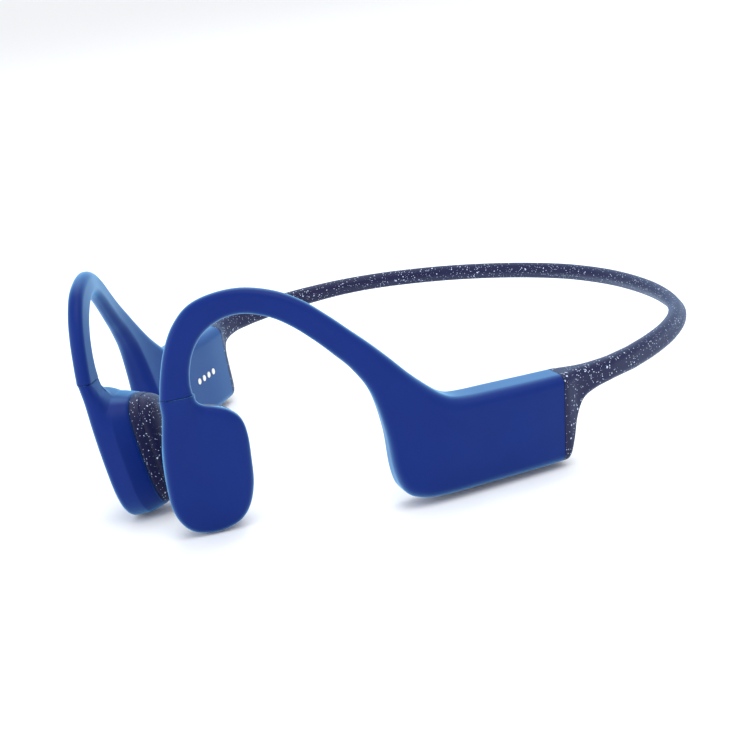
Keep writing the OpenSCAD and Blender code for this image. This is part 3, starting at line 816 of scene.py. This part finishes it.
@dataclass
class Transducer:
    """A transducer's housing and its crowned contact pad, in the housing's flat leaned frame."""

    side: Side
    face: tuple[tuple[float, float], ...] = (
        (80.9, 20.4), (80.4, 16.6), (79.2, 15.1), (77, 14.2), (74.4, 12.9), (72.3, 10.6), (71.5, 7),
        (71.5, 1.6), (71.8, -3.6), (73, -8.2), (75.2, -11.3), (78.4, -12.8), (81.8, -13.1),
        (85.2, -12.1), (87.5, -9.6), (88.7, -5.8), (88.9, -1.2), (88.7, 4), (88.2, 9), (87.4, 14),
        (86.7, 20.4),
    )
    body: tuple[tuple[float, float], ...] = (
        (82.6, 12.8), (81.2, 13), (79.2, 12.9), (77, 12.6), (74.5, 11.7), (72.4, 9.8), (71.5, 6.6),
        (71.5, 1.6), (71.8, -3.6), (73, -8.2), (75.2, -11.3), (78.4, -12.8), (81.8, -13.1),
        (85.2, -12.1), (87.5, -9.6), (88.7, -5.8), (88.9, -1.2), (88.7, 3.6), (88.2, 7.2),
        (87.2, 10.3), (85.2, 12.3),
    )
    pad: tuple[tuple[float, float], ...] = (
        (82, 11), (80.8, 11.2), (79, 11.1), (76.8, 10.6), (74.6, 9.6), (73, 7.9), (72.4, 5.4),
        (72.3, 1.2), (72.6, -3.8), (73.7, -7.6), (75.6, -10.2), (78.2, -11.5), (80.8, -11.6),
        (82.8, -10.6), (84.1, -8.4), (84.8, -5.3), (85, -1.2), (85, 2.9), (84.8, 6.1), (84.3, 8.4),
        (83.4, 10.1),
    )
    middle_u: float = 80.4
    yaw: float = 34.5
    lean: float = 9.5
    seam_z: float = 18.0
    seam_gap: float = 0.16
    face_x: float = 1.6
    crown: float = 0.06
    edge: float = 1.5
    soft_corner: float = 1.0
    shoulder: tuple[float, float] = (-0.2, -3.2)
    stub_round: float = 1.45
    stub_from: tuple[float, float] = (13.5, 17.0)
    pad_from: float = -6.4
    pad_seat: float = -8.8
    pad_depth: float = 2.4
    dome: float = 4.6

    def place(self, points: np.ndarray) -> np.ndarray:
        """Points of the housing's frame in the design frame."""
        lean, yaw = math.radians(self.lean), math.radians(-self.yaw)
        turn = np.array(Matrix.Rotation(yaw, 3, "Z") @ Matrix.Rotation(lean, 3, "Y"))
        centre = bend(np.array([self.middle_u]), np.array([self.seam_z]))[0]
        return (points - UP * self.seam_z) @ turn.T + centre

    def outline(self, x: float) -> np.ndarray:
        """The outline at depth x: face, then body, then pad, eased from one to the next."""
        face, body, pad = (np.array(t) for t in (self.face, self.body, self.pad))
        first = smooth(np.array((self.shoulder[0] - x) / (self.shoulder[0] - self.shoulder[1])))
        second = np.clip((self.shoulder[1] - x) / (self.shoulder[1] - self.pad_seat), 0, 1)
        mixed = (face + (body - face) * first) * (1 - second) + pad * second
        ring = closed_rows(mixed, 6)
        return np.column_stack([self.middle_u - ring[:, 0], ring[:, 1]])

    @staticmethod
    def inset(ring: np.ndarray, d: float | np.ndarray) -> np.ndarray:
        """The ring moved inwards by d, each point along its own normal."""
        t = unit(np.roll(ring, -1, 0) - np.roll(ring, 1, 0))
        return ring + np.column_stack([t[:, 1], -t[:, 0]]) * d

    def stub(self, x: float) -> np.ndarray:
        """The outline at depth x, its stub rounded off behind as the hook's section is.

        The stub's points move in along their normals on a quarter circle, from the mid-surface to
        the hook's inner face.
        """
        ring = self.outline(x)
        depth = min(1.0, max(0.0, -x / self.stub_round))
        low, high = self.stub_from
        weight = smooth((ring[:, 1] - low) / (high - low))
        d = self.stub_round * (1 - math.sqrt(1 - depth * depth)) * weight
        return self.inset(ring, d[:, None])

    @staticmethod
    def shrunk(ring: np.ndarray, share: float) -> np.ndarray:
        """The ring drawn towards its middle, to share of its size."""
        return ring.mean(0) + (ring - ring.mean(0)) * share

    def layers(self, name: str, layers: list[tuple[float, np.ndarray]]) -> bpy.types.Object:
        """A closed solid through level rings at the given depths, cut flat under the seam."""
        rings = np.stack([np.column_stack([np.full(len(r), x), r]) for x, r in layers])
        placed = self.place(rings.reshape(-1, 3))
        placed[:, 2] = np.minimum(placed[:, 2], self.seam_z - self.seam_gap)
        return tube_mesh(name, placed.reshape(rings.shape), self.side)

    def housing(self) -> bpy.types.Object:
        """The housing: a nearly flat outer face, a soft edge, the shoulder and a tucked-in back."""
        face = self.outline(self.face_x)
        # The upper rear corner is rounded further in than the rest
        corner = smooth((face[:, 0] + 0.5) / 5) * smooth((face[:, 1] - 1) / 7)
        wide = (self.edge * (1 + self.soft_corner * corner))[:, None]
        rim = self.inset(face, wide)
        layers = [
            (self.face_x + self.crown * (1 - s * s), self.shrunk(rim, s))
            for s in (0.12, 0.35, 0.6, 0.85)
        ]
        for g in np.linspace(0, math.pi / 2, 9):
            x = self.face_x - self.edge * (1 - math.cos(g))
            layers.append((x, self.inset(face, wide * (1 - math.sin(g)))))
        for x in np.linspace(-0.4, self.pad_from + 0.4, 30):
            layers.append((x, self.stub(x)))
        for back, d in ((0.25, 0.05), (0.13, 0.16), (0.06, 0.35), (0.02, 0.8)):
            layers.append((self.pad_from + back, self.inset(self.outline(self.pad_from + back), d)))
        return self.layers(f"{self.side.value}_transducer_shell", layers)

    def contact_pad(self) -> bpy.types.Object:
        """The pad: a skirt lapped over the housing's back, and a domed face."""
        layers = [(self.pad_from - 0.02, self.inset(self.outline(self.pad_from), 0.8))]
        for back, d in ((0.06, 0.35), (0.15, 0.14), (0.3, 0.05)):
            layers.append((self.pad_from - back, self.inset(self.outline(self.pad_from - back), d)))
        for x in np.linspace(self.pad_from - 0.5, self.pad_seat + 0.6, 8):
            layers.append((x, self.outline(x)))
        ring = self.outline(self.pad_seat)
        for g in np.linspace(0, math.pi / 2, 12)[:-1]:
            x = self.pad_seat + 0.6 - (self.pad_depth + 0.6) * math.sin(g)
            layers.append((x, self.inset(ring, self.dome * (1 - math.cos(g)))))
        rim = layers[-1][1]
        deepest = self.pad_seat - self.pad_depth
        # Each ring of the flat middle takes three fifths of the depth that is left
        for share in np.linspace(0, 1, 8)[1:]:
            x = layers[-1][0] * 0.4 + deepest * 0.6
            layers.append((x, self.shrunk(rim, 1 - 0.95 * share)))
        return self.layers(f"{self.side.value}_pad_cushion", layers)

    def build(self) -> list[bpy.types.Object]:
        """Makes and dresses both pieces."""
        name = self.side.value
        housing, pad = self.housing(), self.contact_pad()
        SOFT_TOUCH.dress(housing)
        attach(housing, f"{name}_arm")
        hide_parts(f"{name}_transducer_housing")
        SPECKLED.dress(pad)
        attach(pad, f"{name}_arm")
        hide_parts(f"{name}_contact_pad")
        return [housing, pad]


@dataclass
class Insides:
    """The CAD nodes that stay, each in its record slot's finish, and the neckband's two cords."""

    cords: tuple[str, ...] = ("neckband_wire", "neckband_cable")

    @staticmethod
    def cord_half(cord: str, side: Side, slot: str) -> bpy.types.Object:
        """Half of a cord in the neckband, cut at the middle, its cut closed.

        Args:
            cord: the CAD node of the whole cord.
            side: the half to keep.
            slot: the node's material slot.

        Returns:
            The new piece.
        """
        node = frame["nodes"][cord]
        work = bmesh.new()
        work.from_mesh(node.data)
        work.transform(node.matrix_world)
        left = side is Side.LEFT
        bmesh.ops.bisect_plane(
            work, geom=[*work.verts, *work.edges, *work.faces], plane_co=(0, 0, 0),
            plane_no=(1, 0, 0), clear_inner=left, clear_outer=not left,
        )
        bmesh.ops.holes_fill(work, edges=[e for e in work.edges if e.is_boundary])
        name = f"{side.value}_{cord}_half"
        mesh = bpy.data.meshes.new(name)
        work.to_mesh(mesh)
        work.free()
        half = bpy.data.objects.new(name, mesh)
        bpy.context.scene.collection.objects.link(half)
        FINISHES[slot].dress(half)
        NeckbandHalf(side).flex(half)
        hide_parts(cord)
        return half

    def build(self) -> list[bpy.types.Object]:
        """Makes the cords' halves, then dresses every CAD node that is still shown."""
        slots = {s["node"]: s["material_slot"] for s in frame["record"]["subparts"]}
        kept = [self.cord_half(cord, side, slots[cord]) for cord in self.cords for side in Side]
        for name, node in sorted(frame["nodes"].items()):
            if not node.hide_render:
                FINISHES[slots[name]].dress(node)
                kept.append(node)
        return kept


# ---------- floor, light and camera ----------

# The object's middle
AIM = np.array([0, 0, 0.02])
FLOOR_REACH = 30.0
FLOOR_DROP = 0.0003
ROOM_TINT = (0.97, 0.985, 1, 1)


@dataclass
class Studio:
    """A pale floor, soft lights and the camera."""

    eye: tuple[float, float, float] = (239.2, -236.3, 100.2)
    right: tuple[float, float, float] = (0.7202, 0.6797, -0.1389)
    forward: tuple[float, float, float] = (-0.6859, 0.6675, -0.2898)
    lens: float = 72.0
    sensor: float = 36.0

    def camera(self) -> None:
        """Makes the camera: its axes are right, up and back."""
        forward = unit(np.array(self.forward))
        right = unit(np.array(self.right) - forward * np.dot(self.right, forward))
        up = np.cross(right, forward)
        data = bpy.data.cameras.new("camera")
        data.lens, data.sensor_width = self.lens, self.sensor
        data.clip_start, data.clip_end = 0.01, 50.0
        camera = bpy.data.objects.new("camera", data)
        at = (np.array(self.eye) + DATUM) * MM
        rows = [[*axis, p] for axis, p in zip(np.column_stack([right, up, -forward]).tolist(), at)]
        camera.matrix_world = Matrix([*rows, [0, 0, 0, 1]])
        bpy.context.scene.collection.objects.link(camera)
        bpy.context.scene.camera = camera

    @staticmethod
    def light(
        name: str, place: tuple[float, float, float], size: float, power: float,
        tint: Rgb = (1, 1, 1),
    ) -> None:
        """A square soft light that faces the object's middle.

        Args:
            name: the light's name.
            place: where it stands, in metres.
            size: its side.
            power: its strength in watts.
            tint: its colour.
        """
        data = bpy.data.lights.new(name, "AREA")
        data.size, data.energy, data.color = size, power, tint
        lamp = bpy.data.objects.new(name, data)
        at = np.array(place)
        back = unit(at - AIM)
        side = unit(np.cross(UP, back))
        up = np.cross(back, side)
        rows = [[*axis, p] for axis, p in zip(np.column_stack([side, up, back]).tolist(), at)]
        lamp.matrix_world = Matrix([*rows, [0, 0, 0, 1]])
        bpy.context.scene.collection.objects.link(lamp)

    def floor(self) -> None:
        """A wide pale floor just under the object."""
        mesh = bpy.data.meshes.new("floor")
        s, z = FLOOR_REACH, -FLOOR_DROP
        mesh.from_pydata([(-s, -s, z), (s, -s, z), (s, s, z), (-s, s, z)], [], [(0, 1, 2, 3)])
        floor = bpy.data.objects.new("floor", mesh)
        bpy.context.scene.collection.objects.link(floor)
        FLOOR_FINISH.dress(floor)

    def build(self) -> None:
        """Makes the floor, lights, surrounding light and camera."""
        self.camera()
        self.floor()
        self.light("key", (0.5, -0.15, 0.9), 0.7, 4.0)
        self.light("front rim", (-0.25, -0.8, 0.25), 0.5, 2.5, (0.8, 0.92, 1))
        self.light("back rim", (-0.3, 0.45, 1.2), 0.9, 7.0, (0.85, 0.94, 1))
        world = bpy.data.worlds.new("soft room")
        bpy.context.scene.world = world
        world.use_nodes = True
        background = world.node_tree.nodes["Background"]
        background.inputs["Color"].default_value = ROOM_TINT
        background.inputs["Strength"].default_value = 1.0
        bpy.context.scene.view_settings.view_transform = "Standard"


def main() -> None:
    """Builds every piece in order and logs it."""
    logging.basicConfig(level=logging.INFO, format="%(message)s")
    Studio().build()
    parts = [Controls()]
    for side in Side:
        parts += [Arm(side), Transducer(side), NeckbandHalf(side)]
    parts.append(Insides())
    for part in parts:
        for piece in part.build():
            LOG.info("%s: %d faces", piece.name, len(piece.data.polygons))


if __name__ == "__main__":
    main()
